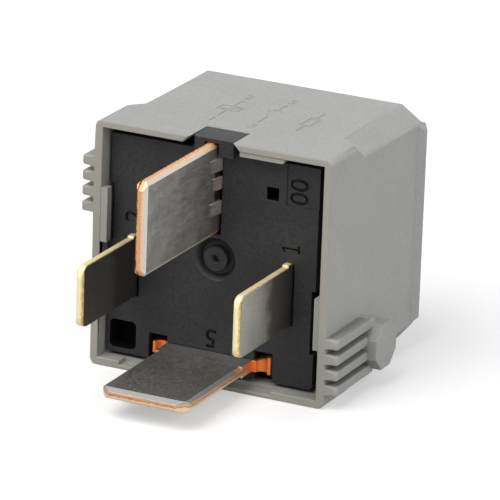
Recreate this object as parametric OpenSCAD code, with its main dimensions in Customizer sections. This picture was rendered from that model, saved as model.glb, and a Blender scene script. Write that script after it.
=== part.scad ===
// Plug-in automotive relay with four blade terminals, lying on one side of its cover.
// X runs across the blades, Y from the blades to the closed end of the cover, Z is up.
// The origin is the middle of the face that it lies on. Sizes are in millimetres.

/* [Cover] */
// Width of the cover across its side walls
cover_w = 25.7; // [25.2:0.1:30]
// Height of the cover as it lies
cover_h = 25.4; // [25:0.1:30]
// Depth of the cover from its mouth to its closed end
cover_d = 21.8; // [21.4:0.1:28]
// Thickness of the side walls and the bottom wall
wall = 0.85; // [0.7:0.05:1.1]
// Thickness of the top wall
top_wall = 0.7; // [0.6:0.05:1.1]
// Thickness of the closed end
end_wall = 0.95; // [0.8:0.05:1.6]
// Width of the chamfers along the long corners behind the skirt
chamfer_w = 2.3; // [1.6:0.1:2.8]
// Width of the upper chamfer on the left
chamfer_left_w = 1.8; // [1.4:0.05:2.8]
// Height of the two upper chamfers
chamfer_upper_h = 1.55; // [1.4:0.05:2.6]
// Height of the two lower chamfers
chamfer_lower_h = 2.7; // [1.8:0.1:3]
// Depth of the square-cornered skirt at the mouth
skirt_d = 5.4; // [5:0.1:7]
// Depth over which a skirt corner slopes down to the chamfer
skirt_slope_d = 2.0; // [1:0.1:3]
// Radius of the skirt's corners
skirt_r = 0.7; // [0.3:0.1:0.9]
// Radius round the closed end
back_r = 1.05; // [0.5:0.05:1.2]

/* [Grip fins and boss] */
// Number of grip fins on each side wall
fin_count = 4; // [2:1:4]
// Thickness of a fin
fin_t = 1.0; // [0.8:0.05:1.2]
// Distance from one fin to the next
fin_pitch = 1.59; // [1.5:0.01:1.8]
// How far the fins stand out of the wall
fin_out = 1.35; // [0.8:0.05:1.8]
// Length of the left fins
fin_left_l = 6.1; // [4:0.1:8]
// Length of the right fins that run into the boss
fin_mid_l = 7.2; // [7:0.1:9]
// Length of the first and last fin on the right
fin_long_l = 8.7; // [7:0.1:10]
// Height of the lowest fin on the right wall
right_fin_z = 1.55; // [1.4:0.05:3]
// Height of the lowest fin on the left wall
left_fin_z = 15.8; // [14:0.05:17]
// Radius of the eight-sided boss over its corners
boss_r = 2.56; // [2:0.02:3]
// How far the boss stands out of the wall
boss_out = 2.4; // [1.4:0.1:3]
// Distance of the boss from the mouth
boss_y = 9.4; // [9:0.1:12]
// Depth of the raised rib at the rear of each side wall
rear_rib_d = 1.8; // [1:0.1:3]
// How far the rear rib stands out
rear_rib_out = 0.45; // [0.2:0.05:0.8]

/* [Cover mouth] */
// Sideways place of the notch in the top wall
notch_x = -0.2; // [-0.4:0.1:0.4]
// Width of the notch in the top wall, at its outer face
notch_w = 4.7; // [4:0.1:6]
// Depth of that notch from the mouth
notch_d = 3.9; // [3.6:0.05:4.4]
// How much wider the notch is on each side at the wall's inner face
notch_flare = 0.7; // [0.1:0.1:1]
// Length of the pad inside the left wall
left_pad_l = 5.6; // [4:0.1:7]
// Height of the left pad's lower end
left_pad_z = 12.95; // [12:0.05:15]
// Length of the snap pad inside the right wall
right_pad_l = 5.3; // [4:0.1:7]
// Height of the right pad's lower end
right_pad_z = 5.85; // [4:0.05:8]
// Length of the snap pad under the top wall
top_pad_l = 4.8; // [4:0.1:7]
// Thickness of the top pad
top_pad_t = 0.5; // [0.3:0.05:0.6]
// Depth of the relief in the bottom wall under terminal 5
rim_relief = 0.4; // [0.2:0.05:0.5]

/* [Base] */
// How far the base's face lies behind the mouth
face_recess = 1.45; // [1.2:0.05:2]
// Thickness of the base with its flange
base_t = 3.0; // [2.8:0.1:3.6]
// Thickness of the wider flange at the back of the base
flange_t = 1.5; // [1:0.1:1.8]
// Gap between the flange and the cover's walls
flange_gap = 0.15; // [0.05:0.05:0.3]
// Gap beside the face on the left
left_gap = 0.3; // [0.2:0.05:0.5]
// Gap beside the face on the right
right_gap = 1.05; // [0.6:0.05:1.2]
// Gap between the face and the bottom wall
face_gap = 0.35; // [0.2:0.05:0.5]
// Gap between the face and the top wall
face_top_gap = 0.5; // [0.2:0.05:0.7]
// Height of the key that fills the notch in the cover
key_h = 1.7; // [1.2:0.1:2.2]
// How far the key's front lies behind the mouth
key_recess = 0.4; // [0:0.05:0.8]
// Radius of the key's left front corner
key_r = 0.85; // [0.3:0.05:1.5]
// Radius of the round mark in the middle of the face
ring_r = 2.2; // [1.9:0.05:2.5]
// Depth of the groove of the round mark
ring_d = 0.7; // [0.2:0.1:1]
// Radius of the disc inside the round mark
ring_disc_r = 1.25; // [0.8:0.05:1.4]
// Side of the square inspection hole
square_hole = 1.3; // [1:0.02:1.8]
// Side of the rounded pocket in the lower left corner
pocket = 2.9; // [2.4:0.1:3.2]
// Depth of the pocket
pocket_d = 2.3; // [1.5:0.1:2.6]
// Gap round a terminal in its slot
slot_gap = 0.05; // [0.03:0.01:0.1]
// Open relief beside blade 3 at the face
slot_relief = 0.28; // [0.1:0.02:0.4]
// Open relief beside the coil blades at the face
coil_slot_relief = 0.12; // [0.1:0.02:0.4]

/* [Terminals] */
// Width of the two load blades
load_w = 9.5; // [9:0.1:9.6]
// Thickness of the two load blades
load_t = 1.2; // [1:0.1:1.3]
// Width of the two coil blades
coil_w = 6.3; // [4.8:0.1:6.6]
// Thickness of the two coil blades
coil_t = 0.8; // [0.6:0.1:1]
// Reach of load blade 3 in front of the mouth
blade_3_reach = 14.5; // [10:0.1:16]
// Reach of load blade 5 in front of the mouth
blade_5_reach = 13.2; // [10:0.1:16]
// Reach of the coil blades in front of the mouth
coil_reach = 10.3; // [8:0.1:12]
// Sideways place of blade 3 and of the middle between the coil blades
blade_x = -0.4; // [-0.8:0.1:0]
// Sideways place of blade 5
blade_5_x = -0.25; // [-0.6:0.05:0]
// Distance between the two coil blades
coil_pitch = 16.9; // [16.4:0.1:18]
// Height of the middle of the coil blades
coil_blade_z = 10.6; // [10:0.05:12]
// Distance of blade 3's top edge below the cover's top
blade_3_drop = 0.45; // [0.3:0.01:1]
// Height of blade 5's lower face
blade_5_z = 2.0; // [1.8:0.1:2.3]
// Corner cuts at the tip of blade 3
tip_3 = 0.8; // [0.5:0.1:1.4]
// Corner cuts at the tip of blade 5
tip_5 = 1.15; // [0.5:0.05:1.4]
// Radius of the corners at a coil blade's tip
coil_tip_r = 1.25; // [0.5:0.05:1.6]
// Length of the bevel at the end of a load blade
load_bevel_l = 0.6; // [0.3:0.1:1.2]
// Length of the bevel at the end of a coil blade
coil_bevel_l = 0.4; // [0.2:0.1:1]
// Width of the bevels along the load blades' long edges
edge_bevel = 0.4; // [0.1:0.05:0.5]
// Length at the root of blade 5 that has no bevels, in front of the mouth
plain_root_l = 1.0; // [0.5:0.1:3]
// Width over the shoulders of terminal 5
shoulder_w = 12.9; // [12:0.1:14]

/* [Magnet system] */
// Sheet thickness of the steel yoke
yoke_t = 2.0; // [1.6:0.1:2.1]
// Width of the yoke and the armature
yoke_w = 11.0; // [9:0.1:11.4]
// Room kept for the armature's swing behind the pole face
head_room = 4.75; // [4.6:0.05:5.5]
// Radius of the core as a share of half the bobbin's height
core_share = 0.5; // [0.4:0.01:0.54]
// Radius of the core's pole head
pole_r = 4.6; // [4:0.1:5]
// Thickness of the pole head
pole_t = 1.2; // [0.8:0.1:1.4]
// Radius of the core's spigot in the yoke
spigot_r = 2.2; // [1.6:0.1:2.3]
// Room over the rivets' heads under the cover's top wall
rivet_room = 1.16; // [0.6:0.01:2]
// Thickness of a bobbin flange
bobbin_flange_t = 0.9; // [0.6:0.1:1.2]
// Wall of the bobbin's tube
bobbin_wall = 0.8; // [0.5:0.1:1]
// How far the winding stays inside the bobbin's flanges
winding_margin = 0.3; // [0.1:0.05:0.8]
// Thickness of the armature
armature_t = 1.6; // [1.3:0.1:1.8]
// Angle between the open and the closed armature
lift = 4; // [3:0.1:4.4]
// Thickness of the contact spring
spring_t = 0.3; // [0.2:0.05:0.35]
// Width of the contact spring on the armature
spring_w = 7.0; // [5:0.1:7.4]
// Radius of the spring's bend round the hinge
spring_bend_r = 1.3; // [1:0.05:1.4]
// Radius of the two contact heads
contact_r = 1.5; // [1.2:0.1:1.5]
// Thickness of a contact head
contact_t = 1.2; // [0.9:0.1:1.3]
// Radius of the rivets' shanks
rivet_r = 0.7; // [0.5:0.05:0.8]
// Radius of the rivets' heads
rivet_head_r = 1.2; // [1:0.1:1.3]
// Height of the rivets' heads
rivet_head_t = 0.45; // [0.3:0.05:0.5]

/* [Coil suppression] */
// Gap between the winding and the suppression resistor
resistor_gap = 1.0; // [0.6:0.1:1.2]
// Radius of the suppression resistor
resistor_r = 1.05; // [0.7:0.05:1.1]
// Length of the suppression resistor
resistor_l = 6.5; // [4:0.1:8]
// Radius of the resistor's and the coil's wires
wire_r = 0.28; // [0.15:0.01:0.3]

/* [Hidden] */
$fn = 48;
// Overlap of a cutting solid past the face that it cuts
cut = 0.5;
// Play between parts that are seated on each other
seat = 0.03;
// Clearance in front of a closed contact and under the closed armature
air = 0.04;
// Overlap that joins two stretches of one strip
join = 0.02;

// Cover
half_w = cover_w / 2;
inner_half_w = half_w - wall;
inner_top_z = cover_h - top_wall;
inner_end_y = cover_d - end_wall;
skirt_end_y = skirt_d + skirt_slope_d;
fin_group_h = (fin_count - 1) * fin_pitch + fin_t;
boss_sides = 8;
boss_sink = 0.1;
boss_z = right_fin_z + fin_group_h / 2 - boss_sink;
fin_nose_r = 0.35;
root = wall + 0.2;
rear_rib_z = chamfer_lower_h + 0.15;
rear_rib_top_z = cover_h - chamfer_upper_h - 0.15;
rear_rib_ramp = 0.9;
pad_front_y = 0.3;
left_pad_out = 0.7;
left_pad_d = 0.6;
right_pad_out = 0.62;
right_pad_x = inner_half_w - right_pad_out;
top_pad_x = notch_x + notch_w / 2 + notch_flare + 0.05;
relief_left_x = -inner_half_w + 2.45;
relief_right_x = shoulder_w / 2 + 0.67;

// Base
flange_y = face_recess + base_t - flange_t;
base_back_y = face_recess + base_t;
face_left_x = -inner_half_w + left_gap;
face_right_x = inner_half_w - right_gap;
face_low_z = wall + face_gap;
face_top_z = inner_top_z - face_top_gap;
base_corner = 0.35;
key_gap = 0.07;
key_w = notch_w - 2 * key_gap;
square_hole_x = 5.33;
square_hole_z = 19.9;
pocket_x = face_left_x + 0.32;
pocket_z = face_low_z + 0.52;
pocket_r = 0.5;
panel_x = 7.45;
panel_z = 19.7;
panel_depth = 0.12;
ring_z = cover_h / 2 + 0.12;
ring_slope = 0.5;
dot_r = 0.43;
dot_low_r = 0.2;
dot_d = 0.5;
left_cut_w = 0.38;
left_cut_end = 0.1;
right_cut_w = 0.84;
right_cut_low = 1.0;
right_cut_high = 0.2;

// Terminals
blade_3_top_z = cover_h - blade_3_drop;
blade_3_low_z = blade_3_top_z - load_w;
blade_3_x0 = blade_x - load_t / 2;
blade_3_full_y = notch_d - 0.15;
coil_x = [blade_x + coil_pitch / 2, blade_x - coil_pitch / 2];
shoulder_y = 1.25;
shoulder_end_y = base_back_y - 0.6;
ear_w = 0.3;
ear_relief_r = 0.62;
ear_rise = 0.53;
// Edges and top of the windows round the ears, on the left and on the right
left_window_x = [-shoulder_w / 2 - 0.55, -shoulder_w / 2 + 1.45];
right_window_x = [shoulder_w / 2 - 1.9, shoulder_w / 2 + 0.1];
left_window_z = blade_5_z + load_t + 0.7;
right_window_z = blade_5_z + load_t + 0.95;
nub_h = 0.2;
nub_y = 0.45;
post_w = 3.0;
post_l = 4.4;
post_end_y = base_back_y + post_l;
stake_t = 0.34;
stake_w = 1.3;
stake_rise = [2.25, 4.75, 6.67];
stake_start = [-0.8, -0.3, -0.8];
stake_end_y = face_recess - seat;

// Magnet system
// The stack under the top wall: rivet heads, spring, tab, yoke leg, bobbin, the arm with its contact
contact_low_z = blade_5_z + load_t + 0.05;
contact_z = contact_low_z + contact_r;
arm_top_z = contact_z + contact_r + 0.05;
bobbin_low_z = arm_top_z + 0.2;
leg_gap = 0.5;
bobbin_top_z = inner_top_z - rivet_room - rivet_head_t - spring_t - load_t - 3 * seat - yoke_t - leg_gap;
bobbin_half_h = (bobbin_top_z - bobbin_low_z) / 2;
axis_z = bobbin_low_z + bobbin_half_h;
core_r = bobbin_half_h * core_share;
stop_gap = 0.3;
stop_t = 0.8;
bobbin_half_w = yoke_w / 2 + stop_gap + stop_t;
winding_r = min(bobbin_half_h, bobbin_half_w) - winding_margin;
pole_y = inner_end_y - head_room;
foot_y = base_back_y + 0.05;
foot_end_y = foot_y + yoke_t;
leg_z = bobbin_top_z + leg_gap;
leg_outer_z = leg_z + yoke_t;
foot_low_z = bobbin_low_z + 0.9;
bobbin_y = foot_end_y + seat;
bobbin_end_y = pole_y - pole_t - seat;
winding_y = bobbin_y + bobbin_flange_t + seat;
winding_end_y = bobbin_end_y - bobbin_flange_t - seat;
tube_r = core_r + seat + bobbin_wall;
hinge_y = pole_y + air;
hinge_z = leg_outer_z;
armature_low_z = bobbin_low_z;
tab_y = base_back_y + seat;
tab_l = 7.9;
tab_end_y = base_back_y + tab_l;
tab_w = 6.0;
tab_z = leg_outer_z + seat;
tab_outer_z = tab_z + load_t;
riser_top_z = tab_outer_z + 0.8;
spring_z = tab_outer_z + seat;
spring_leg_inset = 4.2;
spring_leg_y = base_back_y + spring_leg_inset;
spring_leg_x = blade_3_x0 + 0.1;
spring_low_z = blade_5_z + 0.2;
spring_over = armature_t + seat;
// The bend's centre follows from the leg's plane and the plane of the lifted armature
bend_z = spring_z + spring_t / 2 - spring_bend_r;
bend_turn = 90 - lift;
bend_end_z = bend_z + spring_bend_r * cos(bend_turn);
bend_reach = (hinge_z + (spring_over + spring_t / 2) * sin(lift) - bend_end_z) / cos(lift);
bend_y = hinge_y + bend_reach * sin(lift) + (spring_over + spring_t / 2) * cos(lift)
    - spring_bend_r * sin(bend_turn);
contact_top_y = hinge_y + spring_over;
fixed_face_y = contact_top_y - contact_t - air;
arm_y = fixed_face_y - contact_t - load_t;
arm_w = 8.4;
arm_bend_r = load_t + 0.3;
rivet_sink = 0.1;
rivet_edge = 1.5;
rivet_pitch = 2.8;
yoke_rivet_x = [spring_leg_x + rivet_edge, spring_leg_x + rivet_edge + rivet_pitch];
yoke_rivet_inset = 5.7;
yoke_rivet_y = base_back_y + yoke_rivet_inset;
armature_rivet_x = 1.9;
armature_rivet_drop = 3.9;
armature_rivet_z = hinge_z - armature_rivet_drop;
stop_z = armature_low_z + 1.8;
stop_w = 1.6;
stop_y = hinge_y + (hinge_z - stop_z) * sin(lift) + armature_t * cos(lift) + 0.06;
stop_hook = 1.0;
peened_t = 0.4;
leg_side_gap = 0.4;
strip_shoulder = 1;
strip_margin = 0.5;
resistor_l_gap = 0.02;
layer_step = 0.9;
layer_groove_r = 0.14;

// Coil suppression
resistor_z = axis_z - winding_r - resistor_gap - resistor_r;
resistor_y = post_end_y + wire_r + 0.1;
coil_lead_z = coil_blade_z + 0.9;

// Places a piece that is drawn with y = 0 at the cover's mouth
module from_mouth() {
    translate([0, -cover_d / 2, 0]) children();
}

// Extrudes an outline drawn in X and Z along Y, from y0 to y1
module along_y(y0, y1) {
    translate([0, y1, 0]) rotate([90, 0, 0]) linear_extrude(y1 - y0) children();
}

// A box between two corners
module block(low, high) {
    translate(low) cube(high - low);
}

// A cylinder along Y from y0 to y1
module rod_y(x, z, r, y0, y1) {
    translate([x, y0, z]) rotate([-90, 0, 0]) cylinder(r = r, h = y1 - y0);
}

// A rectangle with round corners, as an exact outline
module round_rect(low, high, r) {
    translate([low.x + r, low.y]) square([high.x - low.x - 2 * r, high.y - low.y]);
    translate([low.x, low.y + r]) square([high.x - low.x, high.y - low.y - 2 * r]);
    for (x = [low.x + r, high.x - r], y = [low.y + r, high.y - r]) translate([x, y]) circle(r);
}

// Cuts the long corner at the right of z = 0, w wide and h high: the slope behind the skirt, the chamfer
// and the rounding at the closed end
module corner_cut(w, h) {
    span = norm([w, h]);
    depth = w * h / span;
    far = depth + cut;
    arc = [for (a = [0:15:75]) [cover_d - back_r + back_r * sin(a), back_r - back_r * cos(a)]];
    last = arc[len(arc) - 1];
    out_y = cover_d + cut;
    translate([half_w - w, 0, 0]) rotate([0, -atan2(h, w), 0])
        translate([-span, 0, 0]) rotate([90, 0, 90]) linear_extrude(span * 3)
            polygon(concat([[skirt_end_y, 0]], arc, [[out_y, last.y + (out_y - last.x) * tan(75)],
                [out_y, -far], [skirt_end_y - skirt_slope_d * far / depth, -far]]));
}

// The outside of the cover: square at the skirt, chamfered behind it and rounded round its closed end
module cover_body() {
    difference() {
        intersection() {
            along_y(0, cover_d + cut) round_rect([-half_w, 0], [half_w, cover_h], skirt_r);
            translate([0, 0, -cut]) linear_extrude(cover_h + 2 * cut)
                round_rect([-half_w, -back_r * 2], [half_w, cover_d], back_r);
            rotate([90, 0, 90]) translate([0, 0, -half_w - cut]) linear_extrude(cover_w + 2 * cut)
                round_rect([-back_r * 2, 0], [cover_d, cover_h], back_r);
        }
        for (side = [0, 1]) mirror([side, 0, 0]) {
            corner_cut(chamfer_w, chamfer_lower_h);
            translate([0, 0, cover_h]) mirror([0, 0, 1])
                corner_cut(side == 0 ? chamfer_w : chamfer_left_w, chamfer_upper_h);
        }
    }
}

// One grip fin with a rounded nose, standing out of the right wall
module fin(z, l) {
    translate([0, 0, z]) linear_extrude(fin_t) {
        translate([half_w - root, 0]) square([fin_out + root - fin_nose_r, l]);
        translate([half_w - root, fin_nose_r]) square([fin_out + root, l - fin_nose_r]);
        translate([half_w + fin_out - fin_nose_r, fin_nose_r]) circle(fin_nose_r);
    }
}

module right_fins() {
    for (k = [0:fin_count - 1])
        fin(right_fin_z + k * fin_pitch, k == 0 || k == fin_count - 1 ? fin_long_l : fin_mid_l);
}

module left_fins() {
    mirror([1, 0, 0]) for (k = [0:fin_count - 1]) fin(left_fin_z + k * fin_pitch, fin_left_l);
}

module boss() {
    translate([half_w - root, boss_y, boss_z]) rotate([0, 90, 0]) rotate([0, 0, 180 / boss_sides])
        cylinder(r = boss_r, h = root + boss_out, $fn = boss_sides);
}

// The rib that stiffens the rear edge of a side wall, with a ramp in front and sloping ends
module rear_rib() {
    x = half_w + rear_rib_out;
    x0 = half_w - cut;
    y0 = cover_d - rear_rib_d;
    y1 = cover_d - 0.12;
    intersection() {
        linear_extrude(cover_h) polygon([[x0, y0], [half_w, y0], [x, y0 + rear_rib_ramp],
            [x, y1 - 0.3], [x - 0.3, y1], [x0, y1]]);
        along_y(y0 - cut, y1 + cut) polygon([[x0, rear_rib_z], [half_w, rear_rib_z],
            [x, rear_rib_z + rear_rib_out], [x, rear_rib_top_z - rear_rib_out * 1.4],
            [half_w, rear_rib_top_z], [x0, rear_rib_top_z]]);
    }
}

// A leg of the inner chamfer that keeps the wall's thickness inside an outer chamfer with legs a and b
function inner_leg(a, b) = a * (1 + wall * norm([1 / a, 1 / b]) - wall / b) - wall;

// The room inside the walls: square behind the mouth, chamfered from the base's seat on
module cover_room() {
    upper = [inner_leg(chamfer_w, chamfer_upper_h), inner_leg(chamfer_upper_h, chamfer_w)];
    left = [inner_leg(chamfer_left_w, chamfer_upper_h), inner_leg(chamfer_upper_h, chamfer_left_w)];
    lower = [inner_leg(chamfer_w, chamfer_lower_h), inner_leg(chamfer_lower_h, chamfer_w)];
    x = inner_half_w;
    along_y(-cut, inner_end_y) polygon([[-x + lower.x, wall], [x - lower.x, wall], [x, wall + lower.y],
        [x, inner_top_z - upper.y], [x - upper.x, inner_top_z], [-x + left.x, inner_top_z],
        [-x, inner_top_z - left.y], [-x, wall + lower.y]]);
    block([-x, -cut, wall], [x, base_back_y + seat, inner_top_z]);
}

module cover_notch() {
    x = notch_w / 2;
    wide = x + notch_flare;
    low = inner_top_z - cut;
    high = cover_h + cut;
    translate([notch_x, 0, 0]) along_y(-cut, notch_d)
        polygon([[-wide, low], [wide, low], [wide, inner_top_z], [x, cover_h], [x, high],
            [-x, high], [-x, cover_h], [-wide, inner_top_z]]);
}

// The relief in the bottom wall's front edge, under terminal 5
module rim_relief() {
    block([relief_left_x, -cut, wall - rim_relief], [relief_right_x, face_recess, wall + cut]);
}

// Pads inside the mouth that guide and hold the base
module cover_pads() {
    block([-inner_half_w - wall / 2, pad_front_y, left_pad_z],
        [-inner_half_w + left_pad_out, pad_front_y + left_pad_d, left_pad_z + left_pad_l]);
    block([right_pad_x, pad_front_y, right_pad_z],
        [inner_half_w + wall / 2, flange_y - seat, right_pad_z + right_pad_l]);
    block([top_pad_x, pad_front_y / 2, inner_top_z - top_pad_t],
        [top_pad_x + top_pad_l, face_recess - seat, inner_top_z + wall / 2]);
}

module cover() {
    color([0.67, 0.67, 0.65]) from_mouth() {
        difference() {
            union() {
                cover_body();
                right_fins();
                left_fins();
                boss();
                rear_rib();
                mirror([1, 0, 0]) rear_rib();
            }
            cover_room();
            cover_notch();
            rim_relief();
        }
        cover_pads();
    }
}

// Slots and notches that the terminals pass through
module terminal_slots() {
    for (x = coil_x) {
        block([x - coil_t / 2 - slot_gap, -cut, coil_blade_z - coil_w / 2 - slot_gap],
            [x + coil_t / 2 + slot_gap, base_back_y + cut, coil_blade_z + coil_w / 2 + slot_gap]);
        block([x, -cut, coil_blade_z - coil_w / 2 - slot_gap],
            [x + coil_t / 2 + coil_slot_relief, flange_y, coil_blade_z + coil_w / 2 - 0.3]);
    }
    block([blade_3_x0 - slot_gap, -cut, blade_3_low_z - slot_gap],
        [blade_3_x0 + load_t + slot_gap, base_back_y + cut, blade_3_top_z + slot_gap]);
    block([blade_x, -cut, blade_3_low_z - slot_gap],
        [blade_3_x0 + load_t + slot_relief, flange_y, blade_3_top_z + slot_gap]);
    block([-shoulder_w / 2 - slot_gap, shoulder_y - cut, blade_5_z - slot_gap],
        [shoulder_w / 2 + slot_gap, base_back_y + cut, blade_5_z + load_t + slot_gap]);
    block([left_window_x[0], face_recess - cut, face_low_z - cut],
        [left_window_x[1], flange_y, left_window_z]);
    block([right_window_x[0], face_recess - cut, face_low_z - cut],
        [right_window_x[1], flange_y, right_window_z]);
}

// Windows in the face's edges beside the two side pads
module pad_windows() {
    block([face_left_x - cut, face_recess - cut, left_pad_z - left_cut_end],
        [face_left_x + left_cut_w, flange_y, left_pad_z + left_pad_l + left_cut_end]);
    block([right_pad_x - right_cut_w, face_recess - cut, right_pad_z - right_cut_low],
        [face_right_x + cut, flange_y, right_pad_z + right_pad_l + right_cut_high]);
}

// A round hole in the middle of the face that narrows from r to low_r
module funnel(r, low_r, depth) {
    rod_y(0, ring_z, r, face_recess - cut, face_recess);
    translate([0, face_recess, ring_z]) rotate([-90, 0, 0]) cylinder(r1 = r, r2 = low_r, h = depth);
}

// Marks on the face: the round mark, the inspection hole, the pocket and the shallow panel
module face_marks() {
    difference() {
        funnel(ring_r, ring_r - ring_slope, ring_d);
        rod_y(0, ring_z, ring_disc_r, face_recess - 2 * cut, face_recess + ring_d + cut);
    }
    funnel(dot_r, dot_low_r, dot_d);
    block([square_hole_x, face_recess - cut, square_hole_z],
        [square_hole_x + square_hole, face_recess + 2, square_hole_z + square_hole]);
    along_y(face_recess - cut, face_recess + pocket_d)
        round_rect([pocket_x, pocket_z], [pocket_x + pocket, pocket_z + pocket], pocket_r);
    block([panel_x, face_recess - cut, panel_z],
        [face_right_x + cut, face_recess + panel_depth, face_top_z + cut]);
}

module base() {
    color([0.13, 0.13, 0.14]) from_mouth() difference() {
        union() {
            along_y(face_recess, flange_y + seat)
                chamfered_face(face_left_x, face_right_x, face_low_z, face_top_z);
            along_y(flange_y, base_back_y)
                chamfered_face(-inner_half_w + flange_gap, inner_half_w - flange_gap,
                    wall + flange_gap, inner_top_z - flange_gap);
            translate([0, 0, cover_h - key_h]) linear_extrude(key_h) key_outline();
        }
        terminal_slots();
        pad_windows();
        face_marks();
        rod_y(0, axis_z, spigot_r + 1.1, base_back_y - peened_t - 0.1, base_back_y + cut);
    }
}

// The key seen from above, with one round corner
module key_outline() {
    x0 = notch_x - key_w / 2;
    y1 = notch_d - key_gap;
    translate([x0 + key_r, key_recess]) square([key_w - key_r, y1 - key_recess]);
    translate([x0, key_recess + key_r]) square([key_w, y1 - key_recess - key_r]);
    translate([x0 + key_r, key_recess + key_r]) circle(key_r);
}

// A plate outline between four edges with small corner cuts
module chamfered_face(x0, x1, z0, z1) {
    c = base_corner;
    polygon([[x0 + c, z0], [x1 - c, z0], [x1, z0 + c], [x1, z1 - c],
        [x1 - c, z1], [x0 + c, z1], [x0, z1 - c], [x0, z0 + c]]);
}

// A blade along Y whose outline is its child, w wide and t thick, with a bevelled end at y = -reach
module blade(w, t, reach, end_y, bevel_l) {
    b = t / 4;
    intersection() {
        translate([0, 0, -cut]) linear_extrude(t + 2 * cut) children();
        rotate([90, 0, 90]) translate([0, 0, -w]) linear_extrude(w * 2)
            polygon([[-reach - cut, b * (1 + cut / bevel_l)], [-reach + bevel_l, 0], [end_y + cut, 0],
                [end_y + cut, t], [-reach + bevel_l, t], [-reach - cut, t - b * (1 + cut / bevel_l)]]);
    }
}

// The section of a load blade, with bevels along its four edges
module bevelled_section() {
    b = load_t / 4;
    x = load_w / 2;
    polygon([[-x, b], [-x + edge_bevel, 0], [x - edge_bevel, 0], [x, b],
        [x, load_t - b], [x - edge_bevel, load_t], [-x + edge_bevel, load_t], [-x, load_t - b]]);
}

// A load blade with cut corners at its tip, whose long edges are bevelled too
module load_blade(reach, tip, end_y) {
    x = load_w / 2;
    intersection() {
        blade(load_w, load_t, reach, end_y, load_bevel_l)
            polygon([[-x + tip, -reach], [x - tip, -reach], [x, -reach + tip], [x, end_y], [-x, end_y],
                [-x, -reach + tip]]);
        along_y(-reach - cut, end_y + cut) bevelled_section();
    }
}

// The outline of a coil blade, with round corners at its tip
module coil_outline(end_y) {
    x = coil_w / 2;
    r = coil_tip_r;
    translate([-x + r, -coil_reach]) square([coil_w - 2 * r, end_y + coil_reach]);
    translate([-x, -coil_reach + r]) square([coil_w, end_y + coil_reach - r]);
    for (side = [-1, 1]) translate([side * (x - r), -coil_reach + r]) circle(r);
}

module coil_terminal(x) {
    top_z = coil_blade_z + coil_w / 2;
    end_y = base_back_y - seat;
    color([0.80, 0.68, 0.38]) from_mouth() {
        translate([x - coil_t / 2, 0, coil_blade_z]) rotate([0, 90, 0])
            blade(coil_w, coil_t, coil_reach, end_y, coil_bevel_l) coil_outline(end_y);
        block([x - coil_t / 2, nub_y, top_z - 1], [x + coil_t / 2, face_recess - seat, top_z + nub_h]);
        block([x - coil_t / 2, base_back_y - 1, coil_blade_z - post_w / 2],
            [x + coil_t / 2, post_end_y, coil_blade_z + post_w / 2]);
    }
}

module coil_terminal_1() {
    coil_terminal(coil_x[0]);
}

module coil_terminal_2() {
    coil_terminal(coil_x[1]);
}

// Load terminal 3: an upright blade folded into a tab that is riveted to the yoke
module load_terminal_3() {
    color([0.78, 0.47, 0.32]) from_mouth() difference() {
        union() {
            translate([blade_3_x0, 0, blade_3_top_z - load_w / 2]) rotate([0, 90, 0])
                load_blade(blade_3_reach, tip_3, blade_3_full_y);
            block([blade_3_x0, blade_3_full_y - 1, blade_3_low_z + edge_bevel],
                [blade_3_x0 + load_t, base_back_y - seat, riser_top_z]);
            block([blade_3_x0, base_back_y - 1, tab_z], [blade_3_x0 + load_t, tab_y + 2, riser_top_z]);
            block([blade_3_x0, tab_y, tab_z], [blade_3_x0 + tab_w, tab_end_y, tab_outer_z]);
            blade_3_stakes();
        }
        for (x = yoke_rivet_x) translate([x, yoke_rivet_y, tab_z - cut])
            cylinder(r = rivet_r + seat, h = load_t + 2 * cut);
    }
}

// The three stakes beside the root of blade 3: bumps that rise towards the face
module blade_3_stakes() {
    x = blade_3_x0 + load_t;
    for (k = [0:2]) translate([0, 0, blade_3_low_z + stake_rise[k]]) linear_extrude(stake_w)
        polygon([[x - seat, stake_start[k]], [x, stake_start[k]], [x + stake_t, stake_end_y - 0.5],
            [x + stake_t, stake_end_y], [x - seat, stake_end_y]]);
}

// Load terminal 5: a flat blade with shoulders, bent up inside to carry the fixed contact
module load_terminal_5() {
    root_x = load_w / 2;
    top_z = blade_5_z + load_t;
    bend_y = arm_y + load_t - arm_bend_r;
    color([0.78, 0.47, 0.32]) from_mouth() difference() {
        union() {
            translate([blade_5_x, 0, blade_5_z]) load_blade(blade_5_reach, tip_5, shoulder_y + 1);
            block([blade_5_x - root_x, -plain_root_l, blade_5_z],
                [blade_5_x + root_x, shoulder_y + 1, top_z]);
            shoulders();
            block([-arm_w / 2, shoulder_end_y - 1, blade_5_z], [arm_w / 2, bend_y + join, top_z]);
            translate([-arm_w / 2, bend_y, blade_5_z + arm_bend_r])
                rotate([90, 0, 90]) quarter_bend(arm_bend_r - load_t, arm_bend_r, arm_w);
            block([-arm_w / 2, arm_y, blade_5_z + arm_bend_r - join], [arm_w / 2, arm_y + load_t, arm_top_z]);
        }
        rod_y(0, contact_z, rivet_r + seat, arm_y - cut, arm_y + load_t + cut);
    }
}

// The shoulders that hold terminal 5 in the base: a relief cut beside the blade and an ear at each end, the
// right one pressed up
module shoulders() {
    x = shoulder_w / 2;
    relief_x = x - ear_w - ear_relief_r;
    difference() {
        union() {
            block([-x, shoulder_y, blade_5_z], [x, shoulder_end_y, blade_5_z + load_t]);
            along_y(shoulder_y, flange_y - seat)
                polygon([[relief_x - ear_relief_r, blade_5_z + 1], [x, blade_5_z + 1],
                    [x, blade_5_z + load_t + ear_rise], [x - ear_w, blade_5_z + load_t + ear_rise],
                    [relief_x - ear_relief_r, blade_5_z + load_t]]);
        }
        for (side = [-1, 1]) translate([side * relief_x, shoulder_y, blade_5_z - cut])
            cylinder(r = ear_relief_r, h = load_t + ear_rise + 2 * cut);
    }
}

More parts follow.
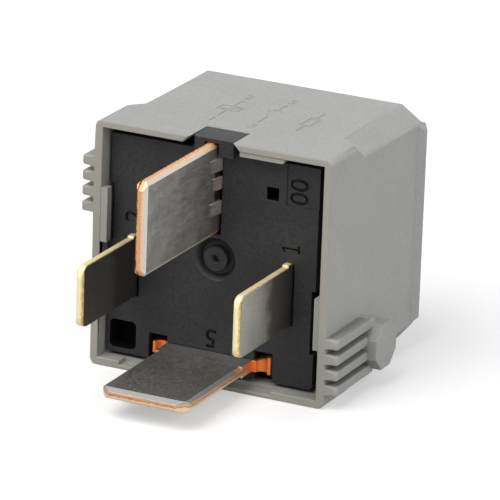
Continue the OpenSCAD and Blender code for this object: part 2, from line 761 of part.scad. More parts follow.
// A quarter of a ring between two radii, where x is positive and y negative, and w thick
module quarter_bend(r_in, r_out, w) {
    linear_extrude(w) intersection() {
        difference() {
            circle(r_out);
            circle(r_in);
        }
        translate([-join, -r_out * 2]) square([r_out * 2, r_out * 2 + join]);
    }
}

module yoke() {
    color([0.62, 0.63, 0.65]) from_mouth() difference() {
        union() {
            block([-yoke_w / 2, foot_y, foot_low_z], [yoke_w / 2, foot_end_y, leg_outer_z]);
            block([-yoke_w / 2, foot_y, leg_z], [yoke_w / 2, pole_y, leg_outer_z]);
        }
        rod_y(0, axis_z, spigot_r + seat, foot_y - cut, foot_end_y + cut);
        for (x = yoke_rivet_x) translate([x, yoke_rivet_y, leg_z - cut])
            cylinder(r = rivet_r + seat, h = yoke_t + 2 * cut);
    }
}

// The core is one turned piece: pole head, shank, spigot and the peened end under the yoke
module core() {
    color([0.66, 0.66, 0.68]) from_mouth() {
        rod_y(0, axis_z, pole_r, pole_y - pole_t, pole_y);
        rod_y(0, axis_z, core_r, foot_end_y + seat, pole_y - pole_t);
        rod_y(0, axis_z, spigot_r, foot_y - seat, foot_end_y + seat);
        rod_y(0, axis_z, spigot_r + 0.7, foot_y - seat - peened_t, foot_y - seat);
    }
}

// The two horns of the bobbin that stop the open armature
module bobbin_stops() {
    for (side = [0, 1]) mirror([side, 0, 0]) {
        block([yoke_w / 2 + stop_gap, bobbin_end_y - bobbin_flange_t, stop_z],
            [bobbin_half_w, stop_y + stop_t, stop_z + stop_w]);
        block([yoke_w / 2 - stop_hook, stop_y, stop_z],
            [bobbin_half_w, stop_y + stop_t, stop_z + stop_w]);
    }
}

module bobbin() {
    color([0.86, 0.85, 0.80]) from_mouth() difference() {
        union() {
            for (y = [bobbin_y, bobbin_end_y - bobbin_flange_t])
                along_y(y, y + bobbin_flange_t)
                    round_rect([-bobbin_half_w, bobbin_low_z], [bobbin_half_w, bobbin_top_z], 1);
            rod_y(0, axis_z, tube_r, bobbin_y, bobbin_end_y);
            bobbin_stops();
        }
        rod_y(0, axis_z, core_r + seat, bobbin_y - cut, bobbin_end_y + cut);
    }
}

// The winding, with a shallow groove at each layer's edge
module coil_winding() {
    color([0.62, 0.27, 0.13]) from_mouth() translate([0, winding_y, axis_z]) rotate([-90, 0, 0])
        rotate_extrude() difference() {
            translate([tube_r + seat, 0]) square([winding_r - tube_r - seat, winding_end_y - winding_y]);
            for (y = [layer_step:layer_step:winding_end_y - winding_y - layer_step / 2])
                translate([winding_r, y]) circle(layer_groove_r, $fn = 16);
        }
}

// A rivet's shank and domed head, along Z
module rivet(grip) {
    cylinder(r = rivet_r, h = grip);
    translate([0, 0, grip]) cylinder(r1 = rivet_head_r, r2 = rivet_head_r * 0.7, h = rivet_head_t);
}

module yoke_rivets() {
    grip = spring_z + spring_t + seat - leg_z - rivet_sink;
    color([0.72, 0.72, 0.74]) from_mouth() for (x = yoke_rivet_x)
        translate([x, yoke_rivet_y, leg_z + rivet_sink]) rivet(grip);
}

// The contact head, shank and peened tail, from the contact face at y = 0 along +Y
module contact_rivet(head_t, grip) {
    rotate([-90, 0, 0]) {
        cylinder(r1 = contact_r - 0.15, r2 = contact_r, h = 0.15);
        translate([0, 0, 0.15]) cylinder(r = contact_r, h = head_t - 0.15);
        cylinder(r = rivet_r, h = head_t + grip + 0.02);
        translate([0, 0, head_t + grip + 0.02]) cylinder(r = rivet_r + 0.35, h = peened_t);
    }
}

module fixed_contact() {
    color([0.82, 0.82, 0.80]) from_mouth() translate([0, fixed_face_y, contact_z]) mirror([0, 1, 0])
        contact_rivet(contact_t - 0.02, load_t + 0.02);
}

// A round wire through the given points, with a ball at each bend
module wire(points) {
    for (k = [0:len(points) - 2]) {
        span = points[k + 1] - points[k];
        translate(points[k]) rotate([0, acos(span.z / norm(span)), atan2(span.y, span.x)])
            cylinder(r = wire_r, h = norm(span), $fn = 16);
    }
    for (k = [1:1:len(points) - 2]) translate(points[k]) sphere(wire_r, $fn = 16);
}

// The end of the coil's wire, from the winding to a terminal's post; side is 1 or -1
module coil_lead(side, post_x) {
    start_x = side * (sqrt(pow(winding_r, 2) - pow(axis_z - coil_lead_z, 2)) + wire_r);
    color([0.70, 0.33, 0.18]) from_mouth()
        wire([[start_x, resistor_y, coil_lead_z], [post_x + side * (coil_t / 2), resistor_y, coil_lead_z]]);
}

module coil_lead_1() {
    coil_lead(1, coil_x[0]);
}

module coil_lead_2() {
    coil_lead(-1, coil_x[1]);
}

// A resistor with rounded end caps wider than its middle
module resistor_body() {
    cap_l = resistor_l / 5;
    color([0.30, 0.45, 0.62]) from_mouth() translate([-resistor_l / 2, resistor_y, resistor_z])
        rotate([0, 90, 0]) {
        cylinder(r = resistor_r * 0.85, h = resistor_l);
        for (x = [0, resistor_l - cap_l]) translate([0, 0, x]) {
            cylinder(r1 = resistor_r * 0.7, r2 = resistor_r, h = cap_l * 0.3);
            translate([0, 0, cap_l * 0.3]) cylinder(r = resistor_r, h = cap_l * 0.4);
            translate([0, 0, cap_l * 0.7]) cylinder(r1 = resistor_r, r2 = resistor_r * 0.7, h = cap_l * 0.3);
        }
    }
}

// A resistor wire, out along X and up in front of a terminal's post
module resistor_lead(side, post_x) {
    color([0.75, 0.75, 0.76]) from_mouth()
        wire([[side * (resistor_l / 2 + resistor_l_gap), resistor_y, resistor_z],
            [post_x, resistor_y, resistor_z], [post_x, resistor_y, coil_blade_z - post_w / 2 + 0.9]]);
}

module resistor_lead_1() {
    resistor_lead(1, coil_x[0]);
}

module resistor_lead_2() {
    resistor_lead(-1, coil_x[1]);
}

// Turns what is drawn with the armature closed to its open place at rest
module lifted() {
    translate([0, hinge_y, hinge_z]) rotate([lift, 0, 0]) translate([0, -hinge_y, -hinge_z]) children();
}

module armature() {
    color([0.60, 0.61, 0.63]) from_mouth() lifted() difference() {
        block([-yoke_w / 2, hinge_y, armature_low_z], [yoke_w / 2, hinge_y + armature_t, hinge_z]);
        for (x = [-armature_rivet_x, armature_rivet_x])
            rod_y(x, armature_rivet_z, rivet_r + seat, hinge_y - cut, hinge_y + armature_t + cut);
    }
}

// The contact spring: a leg riveted to the yoke, a bend round the hinge and a blade on the armature
module contact_spring() {
    leaf_y = hinge_y + spring_over;
    leaf_z = hinge_z - bend_reach;
    strip_top_z = contact_z + contact_r + strip_shoulder;
    strip_x = contact_r + strip_margin;
    color([0.76, 0.56, 0.33]) from_mouth() {
        difference() {
            block([spring_leg_x, spring_leg_y, spring_z],
                [spring_leg_x + tab_w - leg_side_gap, bend_y + join, spring_z + spring_t]);
            for (x = yoke_rivet_x) translate([x, yoke_rivet_y, spring_z - cut])
                cylinder(r = rivet_r + seat, h = spring_t + 2 * cut);
        }
        translate([spring_leg_x, bend_y, bend_z]) rotate([90, 0, 90])
            spring_bend(spring_w / 2 - spring_leg_x);
        lifted() difference() {
            union() {
                block([-spring_w / 2, leaf_y, strip_top_z], [spring_w / 2, leaf_y + spring_t, leaf_z + join]);
                block([-strip_x, leaf_y, spring_low_z], [strip_x, leaf_y + spring_t, strip_top_z + join]);
            }
            for (x = [-armature_rivet_x, armature_rivet_x])
                rod_y(x, armature_rivet_z, rivet_r + seat, leaf_y - cut, leaf_y + spring_t + cut);
            rod_y(0, contact_z, rivet_r + seat, leaf_y - cut, leaf_y + spring_t + cut);
        }
    }
}

// The bend itself: an arc of a thin ring that turns from the leg to the lifted leaf
module spring_bend(w) {
    r_in = spring_bend_r - spring_t / 2;
    r_out = spring_bend_r + spring_t / 2;
    linear_extrude(w) intersection() {
        difference() {
            circle(r_out);
            circle(r_in);
        }
        polygon([[0, 0], [0, r_out * 2], [r_out * 2, r_out * 2],
            [r_out * 2 * sin(bend_turn), r_out * 2 * cos(bend_turn)]]);
    }
}

module armature_rivets() {
    grip = spring_over + spring_t + seat - rivet_sink;
    color([0.72, 0.72, 0.74]) from_mouth() lifted() for (x = [-armature_rivet_x, armature_rivet_x])
        translate([x, hinge_y + rivet_sink, armature_rivet_z]) rotate([-90, 0, 0]) rivet(grip);
}

module moving_contact() {
    color([0.82, 0.82, 0.80]) from_mouth() lifted() translate([0, contact_top_y - contact_t, contact_z])
        contact_rivet(contact_t - 0.02, spring_t + 0.02);
}

cover();
base();
coil_terminal_1();
coil_terminal_2();
load_terminal_3();
load_terminal_5();
yoke();
core();
bobbin();
coil_winding();
yoke_rivets();
fixed_contact();
coil_lead_1();
coil_lead_2();
resistor_body();
resistor_lead_1();
resistor_lead_2();
armature();
contact_spring();
armature_rivets();
moving_contact();
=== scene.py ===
"""Looks of the plug-in relay: a grey moulded cover, a black base and four plated blades.

Everything is in metres, in the frame of the solids: X across the blades, Y from the blades
to the closed end of the cover, Z up. The relay lies on one side of its cover.
"""
import math

import bmesh
import bpy
from mathutils import Matrix, Vector


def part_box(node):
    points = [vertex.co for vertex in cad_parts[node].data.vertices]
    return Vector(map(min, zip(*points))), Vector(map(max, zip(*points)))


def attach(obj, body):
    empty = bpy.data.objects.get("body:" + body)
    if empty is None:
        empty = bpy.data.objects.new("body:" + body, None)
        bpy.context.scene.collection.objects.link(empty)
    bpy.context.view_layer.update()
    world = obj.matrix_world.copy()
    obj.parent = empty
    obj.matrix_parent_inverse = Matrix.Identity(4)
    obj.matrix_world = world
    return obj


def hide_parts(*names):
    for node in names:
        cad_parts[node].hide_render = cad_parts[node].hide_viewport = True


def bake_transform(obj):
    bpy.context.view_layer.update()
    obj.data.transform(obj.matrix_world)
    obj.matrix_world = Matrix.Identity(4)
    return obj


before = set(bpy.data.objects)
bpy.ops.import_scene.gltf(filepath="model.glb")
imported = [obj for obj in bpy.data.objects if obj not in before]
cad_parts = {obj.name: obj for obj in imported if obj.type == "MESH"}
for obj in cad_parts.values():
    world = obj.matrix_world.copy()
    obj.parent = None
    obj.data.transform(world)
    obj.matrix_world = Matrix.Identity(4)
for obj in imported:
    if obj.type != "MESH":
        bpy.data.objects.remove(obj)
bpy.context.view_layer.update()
MM = 0.001

# Camera
# A long lens, from the right of the blades and a little above, as in the photograph.
# The view is placed from the mouth of the cover, out of which the blades stand.
mouth_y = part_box("cover")[0].y
VIEW_AZIMUTH = math.radians(25.526)
VIEW_ELEVATION = math.radians(18.625)
VIEW_ROLL = math.radians(2.039)
VIEW_DISTANCE = 499.2 * MM
VIEW_TARGET = Vector((0, mouth_y + 11.52 * MM, 13.44 * MM))
VIEW_RIGHT = -1.056 * MM
VIEW_UP = -2.433 * MM
LENS_MM = 361.2
SENSOR_MM = 36
NEAREST = 10 * MM
FARTHEST = 20

bpy.ops.object.select_all(action="DESELECT")
bpy.ops.object.camera_add()
camera = bpy.context.object
camera.name = "photo_camera"
turned = (
    Matrix.Rotation(VIEW_AZIMUTH, 4, "Z")
    @ Matrix.Rotation(math.radians(90) - VIEW_ELEVATION, 4, "X")
    @ Matrix.Rotation(VIEW_ROLL, 4, "Z")
)
camera.matrix_world = (
    Matrix.Translation(VIEW_TARGET)
    @ turned
    @ Matrix.Translation((VIEW_RIGHT, VIEW_UP, VIEW_DISTANCE))
)
camera.data.lens = LENS_MM
camera.data.sensor_width = SENSOR_MM
camera.data.clip_start = NEAREST
camera.data.clip_end = FARTHEST
bpy.context.scene.camera = camera

# Cover
# One light grey shell, moulded with its fins, boss and rear ribs, that snaps over the base.
# The mould leaves a fine eroded grain, faint flow marks and a small radius on every edge; here the
# fins, boss, rim and top ridges are rounded.
COVER_GREY = (0.415, 0.422, 0.405, 1)
COVER_SHADE = (0.385, 0.392, 0.377, 1)
SPECK_SHADE = 0.82
# Each pattern: features to the millimetre, detail, roughness
FLOW_MARKS = (0.22, 4, 0.55)
SPECKS = (3.2, 3, 0.6)
GRAIN = (7.5, 2, 0.55)
GRAIN_SHARE = 0.6
RIM_WORN = (1.6, 3, 0.6)
# The rim's tone is partly wear and partly a painted sheen of the light on the rounded lip
RIM_WEAR_AND_SHEEN_TONE = (0.400, 0.388, 0.350, 1)
RIM_DEPTH = 0.45
RIM_WEAR = 0.12
# Painted shade: the gaps between the grip fins are painted darker, most at their roots
GAP_SHADE_TONE = (0.085, 0.083, 0.076, 1)
GAP_SHADE_SHARE = 0.62
GAP_DEEP = 0.3
GAP_SHADE_FADED = 1.6
GAP_FRONT = (0.4, 0.7)
# Each side's fins: which side, lowest and highest Z, and the Y where they end
RIGHT_FINS = (1, 1.5, 7.34, -3.2)
LEFT_FINS = (-1, 15.75, 21.59, -4.75)
COVER_HALF_W = 12.85 * MM
COVER_WALL = 0.85 * MM
ON_PLANE = 0.02 * MM
RIM_EDGE = 0.17 * MM
RIM_INNER_EDGE = 0.12 * MM
FIN_EDGE = 0.20 * MM
RIDGE_ROUND = 0.35 * MM
RIDGE_BAND = 4.5 * MM
RIDGE_FROM_X = 7 * MM
RIDGE_ANGLE = math.radians(20)
SHARP_ANGLE = math.radians(50)
BLUNT_ANGLE = math.radians(32)
SMOOTH_ANGLE = math.radians(35)
FLAT_ANGLE = math.radians(0.5)
SAME_WAY = 0.99
MOUTH_BAND = 0.5 * MM
REAR_ROUNDING = 2.3 * MM
PAD_FRONT = 0.3 * MM
PAD_FORWARD = 0.27 * MM
PAD_INNER_X = -11.0 * MM
PAD_OUTER_X = -12.1 * MM
MERGED_WITHIN = 0.001 * MM
MARK_DEPTH = 0.05 * MM
MARK_LINE = 0.28
MARK_FIGURE = 2.0 * MM
# Strokes of the small circuit drawing on top: X, Y from the mouth, size in X, size in Y, turn
mark_lines = [
    (-3.2, 9.75, 2.4, MARK_LINE, 0),
    (-3.2, 11.05, 2.4, MARK_LINE, 0),
    (-4.31, 10.4, MARK_LINE, 1.4, 0),
    (-2.09, 10.4, MARK_LINE, 1.4, 0),
    (-3.2, 10.4, 2.3, 0.2, 28),
    (-3.2, 8.6, MARK_LINE, 2.1, 0),
    (-3.2, 12.2, MARK_LINE, 2.1, 0),
    (1.2, 8.7, MARK_LINE, 2.3, 0),
    (0.75, 10.8, MARK_LINE, 2.2, 24),
    (1.2, 11.95, 1.0, MARK_LINE, 0),
    (1.2, 13.1, MARK_LINE, 2.1, 0),
    (5.1, 10.4, MARK_LINE, 2.7, 0),
    (6.1, 10.4, MARK_LINE, 2.7, 0),
    (5.6, 9.15, 0.9, MARK_LINE, 0),
    (5.6, 11.65, 0.9, MARK_LINE, 0),
    (5.6, 8.1, MARK_LINE, 1.9, 0),
    (5.6, 12.7, MARK_LINE, 1.9, 0),
]
# Pin numbers beside the drawing: X, Y from the mouth
mark_figures = [
    ("1", -3.2, 6.3),
    ("2", -3.2, 14.6),
    ("3", 1.2, 6.3),
    ("5", 1.2, 15.5),
]


def shader_node(tree, kind, inputs=None, **settings):
    """Adds a node to a material; an input is a value, or a socket that is linked to it."""
    node = tree.nodes.new("ShaderNode" + kind)
    for key, value in settings.items():
        setattr(node, key, value)
    for key, value in (inputs or {}).items():
        if isinstance(value, bpy.types.NodeSocket):
            tree.links.new(value, node.inputs[key])
        else:
            node.inputs[key].default_value = value
    return node


def empty_tree(holder):
    """Clears the nodes of a material or of the room."""
    holder.use_nodes = True
    holder.node_tree.nodes.clear()
    return holder.node_tree


def new_finish(name):
    """A new material with a Principled shader, and object coordinates in millimetres."""
    finish = bpy.data.materials.new(name)
    tree = empty_tree(finish)
    shader = shader_node(tree, "BsdfPrincipled")
    shader_node(tree, "OutputMaterial", {"Surface": shader.outputs[0]})
    place = shader_node(tree, "TexCoord").outputs["Object"]
    in_mm = shader_node(tree, "Mapping", {"Vector": place, "Scale": (1 / MM, 1 / MM, 1 / MM)})
    return finish, tree, shader, in_mm.outputs[0]


def noise(tree, place, scale, detail, roughness):
    """A noise pattern with so many features to the millimetre."""
    wanted = {"Vector": place, "Scale": scale, "Detail": detail, "Roughness": roughness}
    return shader_node(tree, "TexNoise", wanted).outputs["Fac"]


def between(tree, value, low, high, to_low=0.0, to_high=1.0):
    """Maps a value from one range to another and keeps it there."""
    wanted = {
        "Value": value,
        "From Min": low,
        "From Max": high,
        "To Min": to_low,
        "To Max": to_high,
    }
    return shader_node(tree, "MapRange", wanted).outputs[0]


def calculated(tree, operation, first, second=0.0):
    """One sum on one or two values."""
    return shader_node(tree, "Math", {0: first, 1: second}, operation=operation).outputs[0]


def product(tree, value, *others):
    """The product of several values."""
    for other in others:
        value = calculated(tree, "MULTIPLY", value, other)
    return value


def blend_colours(tree, factor, first, second):
    """Mixes two colours by a factor."""
    mix = shader_node(tree, "Mix", data_type="RGBA")
    for key, value in (("Factor", factor), ("A", first), ("B", second)):
        socket = [s for s in mix.inputs if s.name == key and s.enabled][0]
        if isinstance(value, bpy.types.NodeSocket):
            tree.links.new(value, socket)
        else:
            socket.default_value = value
    return [s for s in mix.outputs if s.enabled][0]


def darkened(tone, share):
    """A colour at a share of its strength."""
    return tuple(part * share for part in tone[:3]) + (1,)


def roughened(tree, shader, height, distance, strength):
    """Gives a surface a fine relief."""
    bump = {"Height": height, "Distance": distance, "Strength": strength}
    tree.links.new(shader_node(tree, "Bump", bump).outputs[0], shader.inputs["Normal"])


def moulded_plastic(name, colour, shade, roughness, grain_height, specular, mottle=0.55, others=()):
    """Moulded plastic: faint flow mottling, an eroded grain and a slightly uneven gloss.
    others gives more tones for parts of the piece, each with a function for its share."""
    finish, tree, shader, place = new_finish(name)
    flow = noise(tree, place, *FLOW_MARKS)
    speck = noise(tree, place, *SPECKS)
    grain = noise(tree, place, *GRAIN)
    tone = blend_colours(tree, between(tree, flow, 0.35, 0.65), colour, shade)
    specked = between(tree, speck, 0.42, 0.7, 0, mottle)
    tone = blend_colours(tree, specked, tone, darkened(shade, SPECK_SHADE))
    for share, other in others:
        tone = blend_colours(tree, share(tree, place), tone, other)
    tree.links.new(tone, shader.inputs["Base Color"])
    uneven = between(tree, speck, 0.3, 0.7, roughness - 0.05, roughness + 0.06)
    tree.links.new(uneven, shader.inputs["Roughness"])
    roughened(tree, shader, grain, grain_height, GRAIN_SHARE)
    shader.inputs["Specular IOR Level"].default_value = specular
    return finish


def rim_wear_and_sheen(tree, place):
    """The rim of the mouth is painted a warmer tone than the walls: partly wear, partly a painted sheen
    of the light on its rounded lip.
    """
    along = shader_node(tree, "SeparateXYZ", {"Vector": place}).outputs["Y"]
    worn = between(tree, noise(tree, place, *RIM_WORN), 0.3, 0.7, -RIM_WEAR, RIM_WEAR)
    uneven = calculated(tree, "ADD", along, worn)
    return between(tree, uneven, mouth_y / MM + RIM_WEAR, mouth_y / MM + RIM_DEPTH, 1, 0)


def fin_gap_painted_shade(tree, place):
    """Painted shade in the gaps between the grip fins, darkest at their roots."""
    parts = shader_node(tree, "SeparateXYZ", {"Vector": place})
    across = calculated(tree, "ABSOLUTE", parts.outputs["X"])
    wall_x = COVER_HALF_W / MM
    outside = between(tree, across, wall_x - 0.03, wall_x)
    fading = between(tree, across, wall_x + GAP_DEEP, wall_x + GAP_SHADE_FADED, GAP_SHADE_SHARE, 0)
    front, behind = GAP_FRONT
    behind_front = between(tree, parts.outputs["Y"], mouth_y / MM + front, mouth_y / MM + behind)
    on_fins_share = 0
    for side, low, high, end in (RIGHT_FINS, LEFT_FINS):
        this_side = between(tree, calculated(tree, "MULTIPLY", parts.outputs["X"], side), 0, 0.1)
        above = between(tree, parts.outputs["Z"], low - 0.02, low)
        below = between(tree, parts.outputs["Z"], high, high + 0.02, 1, 0)
        before_end = between(tree, parts.outputs["Y"], end - 0.1, end, 1, 0)
        held = product(tree, above, below, this_side, before_end)
        on_fins_share = calculated(tree, "ADD", held, on_fins_share)
    return product(tree, on_fins_share, outside, fading, behind_front)


cover_plastic = moulded_plastic(
    "cover_plastic",
    COVER_GREY,
    COVER_SHADE,
    roughness=0.46,
    grain_height=0.012 * MM,
    specular=0.42,
    others=[(rim_wear_and_sheen, RIM_WEAR_AND_SHEEN_TONE), (fin_gap_painted_shade, GAP_SHADE_TONE)],
)


def one_selected(piece):
    """Deselects everything else and makes the piece the active one."""
    bpy.ops.object.select_all(action="DESELECT")
    piece.select_set(True)
    bpy.context.view_layer.objects.active = piece


def apply_modifier(piece, kind, **settings):
    """Adds a modifier to a piece and applies it."""
    one_selected(piece)
    modifier = piece.modifiers.new(kind.lower(), kind)
    for key, value in settings.items():
        setattr(modifier, key, value)
    bpy.ops.object.modifier_apply(modifier=modifier.name)


def merged_copy(node, name):
    """A copy of one of the frame's solids with its triangles merged, that stands for it."""
    piece = bpy.data.objects.new(name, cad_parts[node].data.copy())
    bpy.context.scene.collection.objects.link(piece)
    one_selected(piece)
    bpy.ops.mesh.customdata_custom_splitnormals_clear()
    bpy.ops.object.mode_set(mode="EDIT")
    bpy.ops.mesh.select_all(action="SELECT")
    bpy.ops.mesh.remove_doubles(threshold=MERGED_WITHIN)
    bpy.ops.mesh.dissolve_limited(angle_limit=FLAT_ANGLE)
    bpy.ops.object.mode_set(mode="OBJECT")
    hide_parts(node)
    return piece


def round_edges(piece, width, chosen, sharpest=SHARP_ANGLE, segments=2, along=None):
    """Rounds the outward edges of a piece that the given test picks by their middle point,
    or those of them that run along one direction."""
    one_selected(piece)
    bpy.ops.object.mode_set(mode="EDIT")
    bpy.ops.mesh.select_mode(type="EDGE")
    bpy.ops.mesh.select_all(action="DESELECT")
    form = bmesh.from_edit_mesh(piece.data)
    for edge in form.edges:
        if not edge.is_convex or edge.calc_face_angle(0) < sharpest:
            continue
        run = (edge.verts[1].co - edge.verts[0].co).normalized()
        if along and abs(run.dot(along)) < SAME_WAY:
            continue
        edge.select = chosen((edge.verts[0].co + edge.verts[1].co) / 2)
    bmesh.update_edit_mesh(piece.data)
    bpy.ops.mesh.bevel(offset=width, segments=segments, affect="EDGES", clamp_overlap=False)
    bpy.ops.object.mode_set(mode="OBJECT")


def edged_copy(node, name, edge):
    """A merged copy of a solid whose outward edges are all rounded a little."""
    piece = merged_copy(node, name)
    round_edges(piece, edge, lambda place: True, BLUNT_ANGLE)
    return piece


def finished(piece, body, slot, *finishes, smooth=SMOOTH_ANGLE):
    """Gives a piece its finish, smooth shading and the body that carries it."""
    piece.data.materials.clear()
    for finish in finishes:
        piece.data.materials.append(finish)
    one_selected(piece)
    bpy.ops.object.shade_smooth_by_angle(angle=smooth)
    apply_modifier(piece, "WEIGHTED_NORMAL", keep_sharp=True)
    if body:
        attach(piece, body)


cover_top_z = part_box("cover")[1].z
cover_end_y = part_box("cover")[1].y


def on_rim(place):
    """True on the front plane of the cover's mouth."""
    return place.y < mouth_y + ON_PLANE


def near_outside(place):
    """True in the outer half of the cover's walls."""
    inside = COVER_WALL * 0.5
    beside = abs(place.x) > COVER_HALF_W - inside
    return beside or place.z < inside or place.z > cover_top_z - inside


def on_outer_rim(place):
    """True on the outer half of the rim."""
    return on_rim(place) and near_outside(place)


def on_inner_rim(place):
    """True on the inner half of the rim."""
    return on_rim(place) and not near_outside(place)


def on_fins(place):
    """True on the fins and the boss, which stand out of the side walls."""
    return abs(place.x) > COVER_HALF_W + ON_PLANE and place.y < cover_end_y - REAR_ROUNDING


def on_walls(place):
    """True between the mouth and the closed end."""
    return mouth_y + MOUTH_BAND < place.y < cover_end_y - REAR_ROUNDING


def on_ridges(place):
    """True on the long ridges where the top turns into its sloped corners."""
    high = place.z > cover_top_z - RIDGE_BAND
    return high and RIDGE_FROM_X < abs(place.x) < COVER_HALF_W + ON_PLANE / 2 and on_walls(place)


def all_merged(piece, within):
    """Merges the corners of a piece that meet, closes its openings and turns its faces outward."""
    one_selected(piece)
    bpy.ops.object.mode_set(mode="EDIT")
    bpy.ops.mesh.select_all(action="SELECT")
    bpy.ops.mesh.remove_doubles(threshold=within)
    bpy.ops.mesh.fill_holes(sides=0)
    bpy.ops.mesh.normals_make_consistent(inside=False)
    bpy.ops.object.mode_set(mode="OBJECT")


def engraved(piece, cutter):
    """Cuts a shape into the face of a piece and removes the shape."""
    all_merged(cutter, MERGED_WITHIN / 10)
    apply_modifier(piece, "BOOLEAN", operation="DIFFERENCE", solver="EXACT", object=cutter)
    bpy.data.objects.remove(cutter)


def figure(words, height, depth, stroke):
    """Figures as a flat solid, centred."""
    bpy.ops.object.select_all(action="DESELECT")
    bpy.ops.object.text_add()
    cutter = bpy.context.object
    cutter.data.body = words
    cutter.data.size = height
    cutter.data.extrude = depth
    cutter.data.offset = stroke
    cutter.data.align_x = "CENTER"
    cutter.data.align_y = "CENTER"
    bpy.ops.object.convert(target="MESH")
    return bpy.context.object


def bar(across, up, width, height, turn, depth):
    """A straight stroke as a flat solid, sized in millimetres."""
    bpy.ops.object.select_all(action="DESELECT")
    bpy.ops.mesh.primitive_cube_add(
        size=1,
        scale=(width * MM, height * MM, depth * 2),
        location=(across * MM, up * MM, 0),
        rotation=(0, 0, math.radians(turn)),
    )
    bpy.ops.object.transform_apply(location=True, rotation=True, scale=True)
    return bpy.context.object


def pad_forward(piece):
    """Brings the front of the left snap pad up to the mouth of the cover."""
    pad_y = mouth_y + PAD_FRONT
    for corner in piece.data.vertices:
        if abs(corner.co.y - pad_y) < 0.1 * PAD_FRONT and PAD_OUTER_X < corner.co.x < PAD_INNER_X:
            corner.co.y -= PAD_FORWARD


cover_shell = merged_copy("cover", "cover_shell")
pad_forward(cover_shell)
round_edges(cover_shell, RIDGE_ROUND, on_ridges, RIDGE_ANGLE, 3, Vector((0, 1, 0)))
round_edges(cover_shell, FIN_EDGE, on_fins)
round_edges(cover_shell, RIM_EDGE, on_outer_rim)
round_edges(cover_shell, RIM_INNER_EDGE, on_inner_rim)
for line in mark_lines:
    stroke = bar(*line, MARK_DEPTH)
    stroke.data.transform(Matrix.Translation((0, mouth_y, cover_top_z)))
    engraved(cover_shell, stroke)
for words, x, y in mark_figures:
    stroke = figure(words, MARK_FIGURE, MARK_DEPTH, 0)
    stroke.data.transform(Matrix.Translation((x * MM, mouth_y + y * MM, cover_top_z)))
    engraved(cover_shell, stroke)
finished(cover_shell, "housing", "cover_plastic", cover_plastic)

# Base
# One black plate, moulded with the slots that hold the four blades and with its marks.
# It has the same eroded grain as the cover, coarser and with less gloss.
BASE_BLACK = (0.0350, 0.0355, 0.0370, 1)
BASE_SHADE = (0.0230, 0.0230, 0.0240, 1)
# Near-black painted shade for the pockets and deep recesses of the base
BASE_PAINTED_SHADE = (0.0040, 0.0040, 0.0042, 1)
KEY_LOW = 23.4
FACE_TOP = 24.2
GROOVE_H = 0.32
GROOVE_DEPTH = 1.2 * MM
# The groove under the cover's lip runs on both sides of the key; its back takes the pockets' near-black
# painted shade
groove_spans = [(-12.0, -2.75), (2.35, 12.0)]
POCKET_FROM = 1.0 * MM
BASE_EDGE = 0.07 * MM
DIGIT_HEIGHT = 2.75 * MM
DIGIT_DEPTH = 0.35 * MM
DIGIT_STROKE = 0.03 * MM
PANEL_DEPTH = 0.12 * MM
base_face_y = mouth_y + 1.45 * MM
# The figure 1 is made of a stem, a foot and a flag
figure_one = [
    (0.0, 0.0, 0.20, 1.9, 0),
    (0.0, -0.86, 0.80, 0.24, 0),
    (-0.20, 0.80, 0.50, 0.22, 35),
]
ONE_X = 8.14
ONE_Z = 15.33
# The other figures: X, Z, turn, and how far behind the face they are cut
base_marks = [
    ("2", -8.9, 15.65, 90, 0),
    ("5", -0.2, 4.65, 180, 0),
    ("00", 8.88, 21.2, 90, PANEL_DEPTH),
]


def set_on_face(cutter, x, z, turn, sunk=0):
    """Turns a shape drawn flat to stand on the base's face, sunk behind it by a depth."""
    upright = Matrix.Rotation(math.radians(90), 4, "X")
    sideways = Matrix.Rotation(math.radians(turn), 4, "Z")
    placed = Matrix.Translation((x * MM, base_face_y + sunk, z * MM))
    cutter.data.transform(placed @ upright @ sideways)


def deep_painted_shade(tree, place):
    """Painted shade: the pockets, slots and cut figures below the key are painted darker the deeper
    they lie behind the face.
    """
    parts = shader_node(tree, "SeparateXYZ", {"Vector": place})
    face = base_face_y / MM
    depth = between(tree, parts.outputs["Y"], face + 0.1, face + 0.9, 0, 0.85)
    below_key = between(tree, parts.outputs["Z"], KEY_LOW, KEY_LOW + 0.2, 1, 0)
    return product(tree, depth, below_key)


base_plastic = moulded_plastic(
    "base_plastic",
    BASE_BLACK,
    BASE_SHADE,
    roughness=0.52,
    grain_height=0.03 * MM,
    specular=0.35,
    mottle=0.95,
    others=[(deep_painted_shade, BASE_PAINTED_SHADE)],
)
pocket_painted_shade = moulded_plastic(
    "pocket_painted_shade",
    BASE_PAINTED_SHADE,
    BASE_PAINTED_SHADE,
    roughness=0.7,
    grain_height=0.02 * MM,
    specular=0.08,
)
base_plate = edged_copy("base", "base_plate", BASE_EDGE)
for words, x, z, turn, sunk in base_marks:
    cutter = figure(words, DIGIT_HEIGHT, DIGIT_DEPTH, DIGIT_STROKE)
    set_on_face(cutter, x, z, turn, sunk)
    engraved(base_plate, cutter)
for left, right in groove_spans:
    stroke = bar(0, 0, right - left, GROOVE_H, 0, GROOVE_DEPTH)
    set_on_face(stroke, (left + right) / 2, FACE_TOP - GROOVE_H / 2 + 0.01, 0)
    engraved(base_plate, stroke)
for line in figure_one:
    stroke = bar(*line, DIGIT_DEPTH)
    set_on_face(stroke, ONE_X, ONE_Z, 90)
    engraved(base_plate, stroke)
all_merged(base_plate, MERGED_WITHIN)
finished(base_plate, "housing", "base_plastic", base_plastic, pocket_painted_shade)
# Facets deep behind the face, the backs of the pockets and of the groove, take the near-black painted
# shade
for facet in base_plate.data.polygons:
    if facet.center.y > base_face_y + POCKET_FROM and facet.center.z < (FACE_TOP - 0.05) * MM:
        facet.material_index = 1

